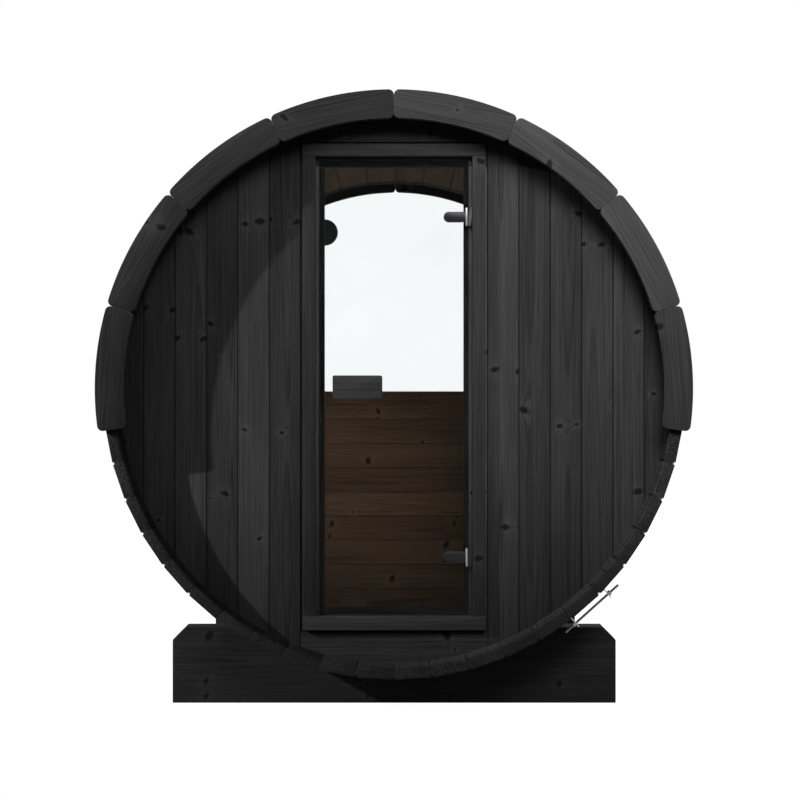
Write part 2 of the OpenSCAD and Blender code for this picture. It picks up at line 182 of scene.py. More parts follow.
rings = {
    "step": 0.0056,
    "wander": 0.045,        # how far the pith strays
    "rise": (0.25, 0.9),    # where late wood starts and is deepest in a ring
    "fall": (1.0, 0.9),
    "depth": (0.6, 0.15),   # of the late wood: spread and least
}
woodNoise = {       # stretch along, across and through the board, detail, roughness
    "drift": ((0.7, 2.5, 2.5), 1.5, 0.5),
    "fibre": ((5.0, 420.0, 420.0), 3.0, 0.6),
    "blotch": ((1.6, 12.0, 12.0), 3.0, 0.5),
    "streak": ((1.4, 60.0, 60.0), 1.0, 0.5),
    "pore": ((240.0, 240.0, 240.0), 2.0, 0.5),
}
woodRamps = {       # from, to, and what the wood is given at each end
    "fibre": (0.25, 0.75, 0.74, 1.26),
    "blotch": (0.25, 0.75, 0.85, 1.15),
    "streak": (0.66, 0.8, 1.0, 0.62),
    "rubbed": (0.35, 0.65, 0.05, 0.45),     # stain worn off the arrises
    "rough": (0.3, 0.7, 0.88, 0.7),
    "paintedGroundShade": (0.2, 0.95, 0.68, 1.0),         # by height: painted shade, darker towards the ground
    "porch": (-0.7, 0.7, 0.38, 1.45),       # painted shade under the overhang on the left, painted light on the right
}
woodLook = {
    "tone": (0.3, 0.85),        # of a board: gain and base
    "endGrain": (2.6, -1.4),    # pores of cut ends: gain and base
    "groove": 0.6,              # painted shade in the joints
    "specular": 0.06,
    "bareSpecular": 0.015,
    "relief": (0.6, 0.5, 0.3),  # of fibres, rings and knots
    "bump": (0.35, 0.0012),
    # colour of the painted shadow of the pane on the door frame
    "paneShadow": (0.003, 0.003, 0.0033),
}
zones = {
    "hollow": 0.9715,       # radius that takes in the inner faces of the staves
    "bareTo": 0.772,        # plan centre to the middle of an end wall
    "porchFrom": 0.795,     # plan centre to just outside an end wall
}
stainLook = {
    "early": (0.047, 0.047, 0.048, 1),
    "late": (0.024, 0.024, 0.0245, 1),
    "knot": (0.010, 0.010, 0.0105, 1),
}
# bare inner faces of the staves: a darker, greyer copy of brownLook, as painted shade
shadedStaveLook = {
    "early": (0.124, 0.077, 0.046, 1),
    "late": (0.075, 0.044, 0.026, 1),
    "knot": (0.034, 0.021, 0.014, 1),
}
brownLook = {
    "early": (0.160, 0.100, 0.063, 1),
    "late": (0.104, 0.061, 0.036, 1),
    "knot": (0.037, 0.021, 0.012, 1),
}


def woodTone(tree, look, line, knot, shade):
    wood = mixColour(tree, line, look["early"], look["late"])
    return scaled(tree, mixColour(tree, knot, wood, look["knot"]), shade)


def fromKnot(tree, along, across):
    # way to the knot of this cell along the board and across it, its radius, and its luck
    rowAt = calc(tree, "DIVIDE", along, knots["rowStep"])
    columnAt = calc(tree, "DIVIDE", across, knots["columnStep"])
    row = calc(tree, "FLOOR", rowAt)
    cell = {"Vector": combine(tree, row, calc(tree, "FLOOR", columnAt), knots["seed"])}
    luck = addNode(tree, "ShaderNodeTexWhiteNoise", cell, noise_dimensions="3D").outputs["Color"]
    size, place, chance = channels(tree, luck)
    rowLuck = luckOf(tree, row)
    rowPlace = calc(tree, "MULTIPLY_ADD", size, knots["stray"], knots["rowFrom"])
    rowPlace = calc(tree, "MULTIPLY_ADD", rowLuck, knots["rowStray"], rowPlace)
    columnPlace = calc(tree, "MULTIPLY_ADD", place, knots["columnStray"], knots["columnFrom"])
    down = times(tree, calc(tree, "SUBTRACT", calc(tree, "FRACT", rowAt), rowPlace), knots["rowStep"])
    aside = calc(tree, "SUBTRACT", calc(tree, "FRACT", columnAt), columnPlace)
    aside = times(tree, aside, knots["columnStep"])
    down = stray(tree, down, rowLuck, aside)        # rows lean
    chosen = calc(tree, "GREATER_THAN", chance, 1 - knots["chance"])
    radius = times(tree, chosen, calc(tree, "ADD", size, knots["smallest"]), knots["size"])
    return down, aside, calc(tree, "MAXIMUM", radius, knots["faintest"]), chance


def knotPattern(tree, along, across):
    # how much of a knot is here, and how near one is
    down, aside, radius, chance = fromKnot(tree, along, across)
    ragged = noise(tree, combine(tree, along, across, 0.0), scale=knots["raggedScale"], detail=1.0)
    raggedDown, raggedAside, unused = channels(tree, ragged.outputs["Color"])
    down = stray(tree, down, raggedDown, knots["ragged"])
    aside = stray(tree, aside, raggedAside, knots["ragged"])
    oval = calc(tree, "MULTIPLY_ADD", chance, -knots["oval"], 1.0)
    reach = lengthOf(tree, down, times(tree, aside, oval))
    knot = ramp(tree, reach, radius, times(tree, radius, knots["core"]))
    shrink, draw = knots["spike"]
    spikeReach = lengthOf(tree, times(tree, down, shrink), times(tree, aside, draw))
    spikeCore = times(tree, radius, knots["spikeCore"])
    spike = ramp(tree, spikeReach, radius, spikeCore, 0.0, knots["spikeDepth"])
    spread = calc(tree, "DIVIDE", reach, times(tree, radius, knots["halo"]))
    near = calc(tree, "EXPONENT", times(tree, spread, spread, -1.0))
    return calc(tree, "MAXIMUM", knot, spike), near


def ringPattern(tree, grain, near):
    # late wood: 0 between its lines
    unused, across, depth = split(tree, grain)
    drift = stretched(tree, grain, *woodNoise["drift"]).outputs["Color"]
    driftSide, driftDeep, unused = channels(tree, drift)
    side = stray(tree, across, driftSide, rings["wander"])
    deep = stray(tree, depth, driftDeep, rings["wander"])
    pith = calc(tree, "SUBTRACT", lengthOf(tree, side, deep), times(tree, near, knots["ringBend"]))
    phase = calc(tree, "DIVIDE", pith, rings["step"])
    saw = calc(tree, "FRACT", phase)
    ringDepth = calc(tree, "MULTIPLY_ADD", luckOf(tree, calc(tree, "FLOOR", phase)), *rings["depth"])
    return times(tree, ramp(tree, saw, *rings["rise"]), ramp(tree, saw, *rings["fall"]), ringDepth)


def woodShade(tree, grain, near, height):
    # light and dark of the boards over the colour of the wood, the fibres in it, and painted shade in the
    # joints and towards the ground
    tone, cut, edge, groove = (attribute(tree, name) for name in ("tone", "cut", "edge", "groove"))
    kinds = ("fibre", "blotch", "streak", "pore")
    fibre, blotch, streak, pore = (stretched(tree, grain, *woodNoise[kind]).outputs[0] for kind in kinds)
    board = calc(tree, "MULTIPLY_ADD", tone, *woodLook["tone"])
    endGrain = calc(tree, "MULTIPLY_ADD", pore, *woodLook["endGrain"])
    rubbed = times(tree, edge, ramp(tree, blotch, *woodRamps["rubbed"]))
    shade = times(
        tree,
        ramp(tree, fibre, *woodRamps["fibre"]),
        ramp(tree, blotch, *woodRamps["blotch"]),
        ramp(tree, streak, *woodRamps["streak"]),
        calc(tree, "MULTIPLY_ADD", near, knots["pale"], board),
        calc(tree, "MULTIPLY_ADD", cut, endGrain, 1.0),
        calc(tree, "ADD", rubbed, 1.0),
        # painted shade on the sloping sides of the joints
        calc(tree, "MULTIPLY_ADD", groove, woodLook["groove"] - 1.0, 1.0),
        # painted shade: darker towards the ground
        ramp(tree, height, *woodRamps["paintedGroundShade"]),
    )
    return shade, fibre


def bareInside(tree, look, place, line, knot, shade):
    # bare boards where a face looks into the cabin, stained ones outside it; under the overhang the stain
    # gets painted shade on the left and painted light on the right
    x, y, z = place
    fromMiddle = calc(tree, "ABSOLUTE", y)
    reach = lengthOf(tree, x, calc(tree, "SUBTRACT", z, axisHeight))
    hollow = calc(tree, "LESS_THAN", reach, zones["hollow"])
    inside = times(tree, hollow, calc(tree, "LESS_THAN", fromMiddle, zones["bareTo"]))
    porch = times(tree, hollow, calc(tree, "GREATER_THAN", fromMiddle, zones["porchFrom"]))
    # painted shade under the overhang on the left, painted light on the right
    porchShadeAndLight = calc(tree, "SUBTRACT", ramp(tree, x, *woodRamps["porch"]), 1.0)
    shadeUnderPorch = times(tree, shade, calc(tree, "MULTIPLY_ADD", porch, porchShadeAndLight, 1.0))
    stained = woodTone(tree, stainLook, line, knot, shadeUnderPorch)
    return mixColour(tree, inside, stained, woodTone(tree, look, line, knot, shade))


def paintPaneShadow(tree, place, colour, shade):
    # painted shadow of the pane: near black on the frame where the pane lies over it
    x, y, z = place
    low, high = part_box("door_glass")
    fromMiddle = calc(tree, "ABSOLUTE", calc(tree, "SUBTRACT", z, (low[2] + high[2]) / 2))
    level = calc(tree, "LESS_THAN", fromMiddle, (high[2] - low[2]) / 2)
    beside = calc(tree, "LESS_THAN", calc(tree, "ABSOLUTE", x), high[0])
    return mixColour(tree, times(tree, beside, level), colour, scaled(tree, woodLook["paneShadow"], shade))


def woodMaterial(name, insideLook=None, paneShadowed=False):
    material, tree, shader = newMaterial(name)
    grain = attribute(tree, "grain", "Vector")
    along, across, depth = split(tree, grain)
    place = split(tree, objectPlace(tree))
    knot, near = knotPattern(tree, along, across)
    line = ringPattern(tree, grain, near)
    shade, fibre = woodShade(tree, grain, near, place[2])
    if insideLook:
        colour = bareInside(tree, insideLook, place, line, knot, shade)
    else:
        colour = woodTone(tree, stainLook, line, knot, shade)
    # painted shadow of the pane on the door frame
    if paneShadowed:
        colour = paintPaneShadow(tree, place, colour, shade)
    connect(tree, colour, shader.inputs["Base Color"])
    connect(tree, ramp(tree, fibre, *woodRamps["rough"]), shader.inputs["Roughness"])
    specular = woodLook["bareSpecular" if insideLook else "specular"]
    shader.inputs["Specular IOR Level"].default_value = specular
    fibreRelief, ringRelief, knotRelief = woodLook["relief"]
    sunk = calc(tree, "MULTIPLY_ADD", line, ringRelief, times(tree, knot, knotRelief))
    addBump(tree, shader, calc(tree, "SUBTRACT", times(tree, fibre, fibreRelief), sunk), *woodLook["bump"])
    return material


steelLook = {
    "brush": (3.0, 0.7),                # detail and roughness
    "brushTone": (0.2, 0.8, 0.86, 1.1),
    "rimBlend": 0.5,
    "rimAt": (0.1, 0.6),                # how far a face turns away where the painted rim glint starts and is full
    "rough": (0.25, 0.75, 0.24, 0.42),
    "cloudScale": 14.0,
    "cloud": 0.08,
    "bump": (0.12, 0.0003),
}


def steelMaterial(name, colour, stretch, rim=1.0):
    material, tree, shader = newMaterial(name)
    place = objectPlace(tree)
    brush = stretched(tree, place, stretch, *steelLook["brush"]).outputs[0]
    cloud = noise(tree, place, scale=steelLook["cloudScale"]).outputs[0]
    turned = addNode(tree, "ShaderNodeLayerWeight", {"Blend": steelLook["rimBlend"]}).outputs["Facing"]
    paintedGlint = ramp(tree, turned, *steelLook["rimAt"], 1.0, rim)     # painted reflection: the colour grows by the rim factor where a face turns away from the view
    shine = times(tree, ramp(tree, brush, *steelLook["brushTone"]), paintedGlint)
    rough = calc(tree, "MULTIPLY_ADD", cloud, steelLook["cloud"], ramp(tree, brush, *steelLook["rough"]))
    connect(tree, scaled(tree, colour, shine), shader.inputs["Base Color"])
    connect(tree, rough, shader.inputs["Roughness"])
    shader.inputs["Metallic"].default_value = 1.0
    addBump(tree, shader, brush, *steelLook["bump"])
    return material


glassLook = {
    "filmScale": 3.0,       # faint film on the pane
    "filmDetail": 4.0,
    "filmTone": (0.2, 0.8, 0.97, 1.0),
    "hazeAt": (0.35, 0.8),
    "index": 1.08,          # low glare, as coated panes
}


def glassMaterial(name, colour, clear, haze):
    material, tree, shader = newMaterial(name)
    film = noise(tree, objectPlace(tree), glassLook["filmScale"], glassLook["filmDetail"]).outputs[0]
    tone = ramp(tree, film, *glassLook["filmTone"])
    connect(tree, scaled(tree, colour, tone), shader.inputs["Base Color"])
    connect(tree, ramp(tree, film, *glassLook["hazeAt"], 0.0, haze), shader.inputs["Roughness"])
    shader.inputs["Transmission Weight"].default_value = clear
    shader.inputs["IOR"].default_value = glassLook["index"]
    return material


plasticLook = {
    "colour": (0.004, 0.004, 0.0045),
    "cloudScale": 30.0,
    "cloudTone": (0.3, 0.7, 0.8, 1.2),
    "pebbleScale": 900.0,
    "rough": (0.3, 0.7, 0.5, 0.68),
    "specular": 0.03,
    "bump": (0.2, 0.0003),
}


def plasticMaterial(name):
    material, tree, shader = newMaterial(name)
    place = objectPlace(tree)
    pebble = noise(tree, place, scale=plasticLook["pebbleScale"]).outputs[0]
    cloud = noise(tree, place, scale=plasticLook["cloudScale"]).outputs[0]
    tone = ramp(tree, cloud, *plasticLook["cloudTone"])
    connect(tree, scaled(tree, plasticLook["colour"], tone), shader.inputs["Base Color"])
    connect(tree, ramp(tree, pebble, *plasticLook["rough"]), shader.inputs["Roughness"])
    shader.inputs["Specular IOR Level"].default_value = plasticLook["specular"]
    addBump(tree, shader, pebble, *plasticLook["bump"])
    return material


stainedWood = woodMaterial("black_stained_wood")
frameWood = woodMaterial("frame_wood", paneShadowed=True)
cabinWood = woodMaterial("stained_and_bare_wood", brownLook)
staveWood = woodMaterial("stave_wood", shadedStaveLook)
rodSteel = steelMaterial("rod_steel", (0.24, 0.24, 0.237), (300.0, 60.0, 300.0))
# the hinge plates get a strong painted glint at edges turned from the view
plateSteel = steelMaterial("plate_steel", (0.018, 0.018, 0.019), (30.0, 30.0, 900.0), 9.0)
pinSteel = steelMaterial("pin_steel", (0.26, 0.26, 0.255), (400.0, 400.0, 60.0))
bandSteel = steelMaterial("band_steel", (0.30, 0.30, 0.30), (40.0, 900.0, 40.0))
leafSteel = steelMaterial("leaf_steel", (0.022, 0.022, 0.023), (400.0, 400.0, 60.0))
paneGlass = glassMaterial("pane_glass", (0.97, 0.985, 0.985), 1.0, 0.015)
edgeGlass = glassMaterial("pane_edge", (0.035, 0.055, 0.048), 0.3, 0.3)
catchPlastic = plasticMaterial("catch_plastic")
print("materials: wood, steel, glass, plastic")


# mesh helpers

meshRules = {
    "easedFrom": 25.0,          # degrees at an edge from which it is eased
    "sharpFrom": 32.0,          # degrees from which it is shaded sharp
    "flatTo": 0.6,              # degrees to which two faces count as one
    "merge": 1e-5,
    "facing": 0.9,              # cosine from which a face looks along an axis
    "sloping": (0.3, 0.95),     # part of a face's normal across the board, on the sides of a joint
}
axes = {"x": Vector((1, 0, 0)), "y": Vector((0, 1, 0)), "z": Vector((0, 0, 1))}


def roundEdges(bm, arris, segments=2):
    limit = math.radians(meshRules["easedFrom"])
    sharp = [e for e in bm.edges if len(e.link_faces) == 2 and e.calc_face_angle(0) > limit]
    layer = bm.faces.layers.float.new("edge")       # 1 on the eased edges
    if arris and sharp:
        made = bmesh.ops.bevel(
            bm, geom=sharp, offset=arris, segments=segments, profile=0.5,
            affect="EDGES", clamp_overlap=True,
        )
        for face in made["faces"]:
            face[layer] = 1.0


def prism(outline, low, high, arris=0.0, splitEnds=False):
    bm = bmesh.new()        # outline lies in x and z, the prism runs along y
    first = [bm.verts.new((x, low, z)) for x, z in outline]
    last = [bm.verts.new((x, high, z)) for x, z in outline]
    for k in range(len(outline)):
        n = (k + 1) % len(outline)
        bm.faces.new((first[k], first[n], last[n], last[k]))
    bm.faces.new(first)
    bm.faces.new(last)
    bmesh.ops.recalc_face_normals(bm, faces=bm.faces)
    roundEdges(bm, arris)
    if splitEnds:
        bmesh.ops.triangulate(bm, faces=[f for f in bm.faces if len(f.verts) > 4])
    return bm


def storeGrain(mesh, lie, middle=(0, 0, 0), shift=(0, 0, 0), tone=None):
    along, across, depth = (axes[letter] for letter in lie)
    grain = mesh.attributes.new("grain", "FLOAT_VECTOR", "POINT")
    for item, vertex in zip(grain.data, mesh.vertices):
        place = vertex.co - Vector(middle)
        item.vector = Vector((place.dot(along), place.dot(across), place.dot(depth))) + Vector(shift)
    ends = [float(abs(face.normal.dot(along)) > meshRules["facing"]) for face in mesh.polygons]
    mesh.attributes.new("cut", "FLOAT", "FACE").data.foreach_set("value", ends)     # 1 on sawn ends
    if tone is not None:
        tones = [tone] * len(mesh.vertices)
        mesh.attributes.new("tone", "FLOAT", "POINT").data.foreach_set("value", tones)


def markGrooves(mesh):
    low, high = meshRules["sloping"]
    sides = [float(low < abs(face.normal.x) < high) for face in mesh.polygons]
    mesh.attributes.new("groove", "FLOAT", "FACE").data.foreach_set("value", sides)


def meshObject(name, bm):
    mesh = bpy.data.meshes.new(name)
    bm.to_mesh(mesh)
    bm.free()
    mesh.shade_smooth()
    mesh.set_sharp_from_angle(angle=math.radians(meshRules["sharpFrom"]))
    piece = bpy.data.objects.new(name, mesh)
    scene.collection.objects.link(piece)
    return piece


def settle(piece, body, slotName, *nodes):
    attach(piece, body)
    if nodes:
        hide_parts(*nodes)


def dressNode(node, name, arris, segments=2):
    bm = bmesh.new()        # a merged copy of the solid with its edges eased
    bm.from_mesh(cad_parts[node].data)
    bmesh.ops.remove_doubles(bm, verts=bm.verts, dist=meshRules["merge"])
    limit = math.radians(meshRules["flatTo"])
    bmesh.ops.dissolve_limit(bm, angle_limit=limit, verts=bm.verts, edges=bm.edges)
    roundEdges(bm, arris, segments)
    return meshObject(name, bm)


# geometry tree helpers

boardLuck = {
    "low": (0.0, -0.05, 0.012),     # least and most shift of the grain along, across and through a board
    "high": (60.0, 0.05, 0.09),
    "toneSeed": 7,                  # added to the seed of the shifts
    "tones": (0.0, 1.0),
}


def newTree(name, sizes):
    tree = bpy.data.node_groups.new(name, "GeometryNodeTree")
    tree.interface.new_socket("Geometry", in_out="OUTPUT", socket_type="NodeSocketGeometry")
    for label, kind in sizes.items():
        tree.interface.new_socket(label, in_out="INPUT", socket_type="NodeSocket" + kind)
    return tree, tree.nodes.new("NodeGroupInput").outputs


def closeTree(tree, geometry, material):
    dressed = addNode(tree, "GeometryNodeSetMaterial", {"Geometry": geometry, "Material": material})
    tree.links.new(dressed.outputs[0], tree.nodes.new("NodeGroupOutput").inputs[0])


def runTree(tree, name, values):
    piece = bpy.data.objects.new(name, bpy.data.meshes.new(name))
    scene.collection.objects.link(piece)
    modifier = piece.modifiers.new("build", "NODES")
    modifier.node_group = tree
    for item in tree.interface.items_tree:
        if item.in_out == "INPUT":
            modifier[item.identifier] = values[item.name]
    graph = bpy.context.evaluated_depsgraph_get()
    shape = piece.evaluated_get(graph)
    built = bpy.data.meshes.new_from_object(shape, preserve_all_data_layers=True, depsgraph=graph)
    piece.modifiers.remove(modifier)
    material = built.materials[-1]
    built.materials.clear()
    built.materials.append(material)
    built.polygons.foreach_set("material_index", [0] * len(built.polygons))
    piece.data = built
    built.name = name
    return piece


def realize(tree, instances):
    return addNode(tree, "GeometryNodeRealizeInstances", {"Geometry": instances}).outputs[0]


def storeValue(tree, geometry, name, value, kind, domain):
    inputs = {"Geometry": geometry, "Name": name}
    node = addNode(tree, "GeometryNodeStoreNamedAttribute", inputs, data_type=kind, domain=domain)
    tree.links.new(value, enabled(node.inputs, "Value"))
    return node.outputs[0]


def readVector(tree, name):
    node = addNode(tree, "GeometryNodeInputNamedAttribute", {"Name": name}, data_type="FLOAT_VECTOR")
    return enabled(node.outputs, "Attribute")


def varyBoards(tree, instances, seed, darkest, lightest):
    # every board gets its own cut of the log and its own tone
    cuts = {0: boardLuck["low"], 1: boardLuck["high"], 8: seed}
    tones = {2: darkest, 3: lightest, 8: calc(tree, "ADD", seed, boardLuck["toneSeed"])}
    shift = addNode(tree, "FunctionNodeRandomValue", cuts, data_type="FLOAT_VECTOR").outputs[0]
    tone = addNode(tree, "FunctionNodeRandomValue", tones, data_type="FLOAT").outputs[1]
    instances = storeValue(tree, instances, "shift", shift, "FLOAT_VECTOR", "INSTANCE")
    instances = storeValue(tree, instances, "tone", tone, "FLOAT", "INSTANCE")
    return realize(tree, instances)


def shiftGrain(tree, boards, grain):
    total = vectorCalc(tree, "ADD", grain, readVector(tree, "shift"))
    return storeValue(tree, boards, "grain", total, "FLOAT_VECTOR", "POINT")


def copiesOn(tree, points, thing, turn=(0, 0, 0)):
    source = addNode(tree, "GeometryNodeObjectInfo", {"Object": thing}).outputs["Geometry"]
    inputs = {"Points": points, "Instance": source, "Rotation": turn}
    return addNode(tree, "GeometryNodeInstanceOnPoints", inputs).outputs[0]


def turnedCopies(tree, thing, count, angleStep, firstAngle):
    # copies of one piece turned about the barrel axis, clockwise seen from the door
    points = addNode(tree, "GeometryNodeMeshLine", {"Count": count, "Offset": (0, 0, 0)}).outputs[0]
    index = addNode(tree, "GeometryNodeInputIndex").outputs[0]
    angle = calc(tree, "MULTIPLY_ADD", index, angleStep, firstAngle)
    return copiesOn(tree, points, thing, combine(tree, 0.0, angle, 0.0))


def rowOf(tree, thing, count, start, step):
    places = {
        "Count": count,
        "Start Location": combine(tree, start, 0.0, 0.0),
        "Offset": combine(tree, step, 0.0, 0.0),
    }
    return copiesOn(tree, addNode(tree, "GeometryNodeMeshLine", places).outputs[0], thing)


def ringTree(name, material):
    # boards turned about the barrel axis, used by the staves and the trims
    tree, sizes = newTree(name, {
        "Board": "Object",
        "Count": "Int",
        "Board Angle": "Float",
        "First Angle": "Float",
        "Place": "Vector",
        "Darkest": "Float",
        "Lightest": "Float",
        "Seed": "Int",
    })
    copies = turnedCopies(tree, sizes["Board"], sizes["Count"], sizes["Board Angle"], sizes["First Angle"])
    boards = varyBoards(tree, copies, sizes["Seed"], sizes["Darkest"], sizes["Lightest"])
    boards = shiftGrain(tree, boards, readVector(tree, "grain"))
    placed = addNode(tree, "GeometryNodeTransform", {"Geometry": boards, "Translation": sizes["Place"]})
    closeTree(tree, placed.outputs[0], material)
    return tree


# staves round the barrel

staves = {
    "count": 48,
    "radius": 1.008,        # axis to the outer flats
    "thickness": 0.041,
    "length": 1.77,
    "stepWidth": 0.0045,
    "stepDepth": 0.005,
    "bevel": 0.003,
    "croze": 0.012,
    "tongue": (0.009, 0.008),
    "gap": 0.0004,
    "arris": 0.0009,
    "seed": 11,
}


def staveOutline():
    half = math.pi / staves["count"]
    outer, inner = staves["radius"], staves["radius"] - staves["thickness"]
    gap, bevel, stepWidth = staves["gap"], staves["bevel"], staves["stepWidth"]
    step = outer - staves["stepDepth"]
    middle = (inner + staves["croze"] + step) / 2
    low, high = middle - staves["tongue"][0] / 2, middle + staves["tongue"][0] / 2
    across, down = staves["tongue"][1] * math.cos(half), staves["tongue"][1] * math.sin(half)

    def edge(height):
        return height * math.tan(half) - gap / 2 / math.cos(half)

    return [
        (bevel - edge(inner), inner), (edge(inner) - bevel, inner), (edge(inner + bevel), inner + bevel),
        (edge(low), low), (edge(low) + across, low - down),
        (edge(high) + across, high - down), (edge(high), high),
        (edge(step), step), (edge(step) - stepWidth, step), (edge(outer) - stepWidth, outer),
        (stepWidth - edge(outer), outer), (stepWidth - edge(step), step), (-edge(step), step),
        (-edge(high + gap), high + gap), (across - edge(high + gap), high + gap + down),
        (across - edge(low - gap), low - gap + down), (-edge(low - gap), low - gap),
        (-edge(inner + bevel), inner + bevel),
    ]


def buildStaves():
    half = staves["length"] / 2
    stave = meshObject("stave", prism(staveOutline(), -half, half, staves["arris"]))
    storeGrain(stave.data, "yxz", (0, 0, staves["radius"] - staves["thickness"] / 2))
    markGrooves(stave.data)
    turn = 2 * math.pi / staves["count"]
    ring = runTree(ringTree("stave_ring", staveWood), "stave_ring", {
        "Board": stave,
        "Count": staves["count"],
        "Board Angle": turn,
        "First Angle": turn / 2,
        "Place": (0, 0, axisHeight),
        "Darkest": boardLuck["tones"][0],
        "Lightest": boardLuck["tones"][1],
        "Seed": staves["seed"],
    })
    bpy.data.objects.remove(stave)
    parts = ("crown", "upper", "lower", "floor")
    names = [f"staves_{part}_{side}" for part in parts for side in ("left", "right")]
    settle(ring, "cabin", "stained_wood", *names)


buildStaves()
print("staves: ring of", staves["count"])


# curved trim boards on the stave ends

trims = {
    "perEnd": 8,
    "endAngle": 98.35,      # degrees from the top to the last board's end
    "outer": 1.032,
    "width": 0.0995,
    "thickness": 0.028,
    "corner": 0.019,
    "cornerSteps": 7,
    "arcSteps": 18,
    "gap": 0.0002,
    "arris": 0.0025,
    "middle": 0.899,        # from the plan centre to the middle of a board's thickness
    "tones": (-0.8, 2.3),   # darkest and lightest board
    "seed": 2729,
}


def turned(radius, angle, centre=(0.0, 0.0)):
    return (centre[0] + radius * math.sin(angle), centre[1] + radius * math.cos(angle))


def arc(centre, radius, start, end, steps):
    return [turned(radius, start + (end - start) * k / steps, centre) for k in range(steps + 1)]


def trimOutline():
    half = math.radians(trims["endAngle"]) / trims["perEnd"]
    outer, inner, corner = trims["outer"], trims["outer"] - trims["width"], trims["corner"]
    few, many = trims["cornerSteps"], trims["arcSteps"]
    edge = corner + trims["gap"] / 2
    outerTurn = half - math.asin(edge / (outer - corner))
    innerTurn = half - math.asin(edge / (inner + corner))
    quarter = math.pi / 2
    points = arc(turned(outer - corner, -outerTurn), corner, -half - quarter, -outerTurn, few)
    points += arc((0, 0), outer, -outerTurn, outerTurn, many)[1:]
    points += arc(turned(outer - corner, outerTurn), corner, outerTurn, half + quarter, few)[1:]
    points += arc(turned(inner + corner, innerTurn), corner, half + quarter, innerTurn + math.pi, few)
    points += arc((0, 0), inner, innerTurn, -innerTurn, many)[1:]
    last = 3 * quarter - half
    points += arc(turned(inner + corner, -innerTurn), corner, math.pi - innerTurn, last, few)[1:]
    return points


def buildTrims():
    half = trims["thickness"] / 2
    board = meshObject("trim_board", prism(trimOutline(), -half, half, trims["arris"]))
    storeGrain(board.data, "xzy", (0, 0, trims["outer"] - trims["width"] / 2))
    tree = ringTree("trim_ring", stainedWood)
    turn = 2 * math.radians(trims["endAngle"]) / trims["perEnd"]
    for end, side in (("front", -1), ("rear", 1)):
        ring = runTree(tree, f"{end}_trim_ring", {
            "Board": board,
            "Count": trims["perEnd"],
            "Board Angle": turn,
            "First Angle": turn * (1 - trims["perEnd"]) / 2,
            "Place": (0, side * trims["middle"], axisHeight),
            "Darkest": trims["tones"][0],
            "Lightest": trims["tones"][1],
            "Seed": trims["seed"] + side,
        })
        settle(ring, "cabin", "stained_wood", f"{end}_trim_left", f"{end}_trim_right")
    bpy.data.objects.remove(board)


buildTrims()
print("trims: curved boards on both ends")


# boards of the end walls, run out to the round edge

wallBoards = {
    "rim": 0.9787,                  # radius of the edge inside the groove of the staves
    "thickness": 0.042,
    "outerFace": 0.791,             # from the plan centre to the outer face
    "pitch": 0.1108,
    "bevel": 0.0024,
    "tongue": (0.009, 0.008),
    "gap": 0.0004,
    "splits": 12,
    "doorHalf": 0.33,
    "past": 2.0,                    # half length that ends only at the rim
    "rearFirst": (0.0554, 0.0731),  # drop of the board under the window rail, and its height
    "rearStart": 0.1285,
    "sideSeeds": (99329, 47074),    # boards right and left of the door
    "sideTones": (-0.4, 1.8),
    "seed": 2205,
}


def boardOutline(width, grooved):
    thick, bevel, splits = wallBoards["thickness"], wallBoards["bevel"], wallBoards["splits"]
    gap = wallBoards["gap"]
    body = width - gap
    low, high = (thick - wallBoards["tongue"][0]) / 2, (thick + wallBoards["tongue"][0]) / 2
    deep = wallBoards["tongue"][1]
    row = [bevel + (body - 2 * bevel) * k / splits for k in range(splits + 1)]
    points = [(x, 0) for x in row] + [(body, bevel)]
    if grooved:
        points += [(body, low), (body + deep, low), (body + deep, high), (body, high)]
    points += [(body, thick - bevel)] + [(x, thick) for x in reversed(row)] + [(0, thick - bevel)]
    if grooved:
        points += [(0, high + gap), (deep, high + gap), (deep, low - gap), (0, low - gap)]
    return points + [(0, bevel)]


def wallTree():
    tree, sizes = newTree("round_wall", {
        "Board": "Object",
        "Count": "Int",
        "Start": "Float",
        "Pitch": "Float",
        "Rim": "Float",
        "Half Length": "Float",
        "Darkest": "Float",
        "Lightest": "Float",
        "Seed": "Int",
    })
    copies = rowOf(tree, sizes["Board"], sizes["Count"], sizes["Start"], sizes["Pitch"])
    boards = varyBoards(tree, copies, sizes["Seed"], sizes["Darkest"], sizes["Lightest"])
    x, y, z = split(tree, addNode(tree, "GeometryNodeInputPosition").outputs[0])
    rim = sizes["Rim"]
    squared = calc(tree, "SUBTRACT", times(tree, rim, rim), times(tree, x, x))
    reach = calc(tree, "SQRT", calc(tree, "MAXIMUM", squared, 0.0))
    reach = calc(tree, "MINIMUM", sizes["Half Length"], reach)
    place = combine(tree, calc(tree, "MINIMUM", x, rim), times(tree, y, reach), z)
    boards = addNode(tree, "GeometryNodeSetPosition", {"Geometry": boards, "Position": place}).outputs[0]
    unused, across, depth = split(tree, readVector(tree, "grain"))
    boards = shiftGrain(tree, boards, combine(tree, y, across, depth))      # y after the boards are run out
    closeTree(tree, boards, cabinWood)
    return tree


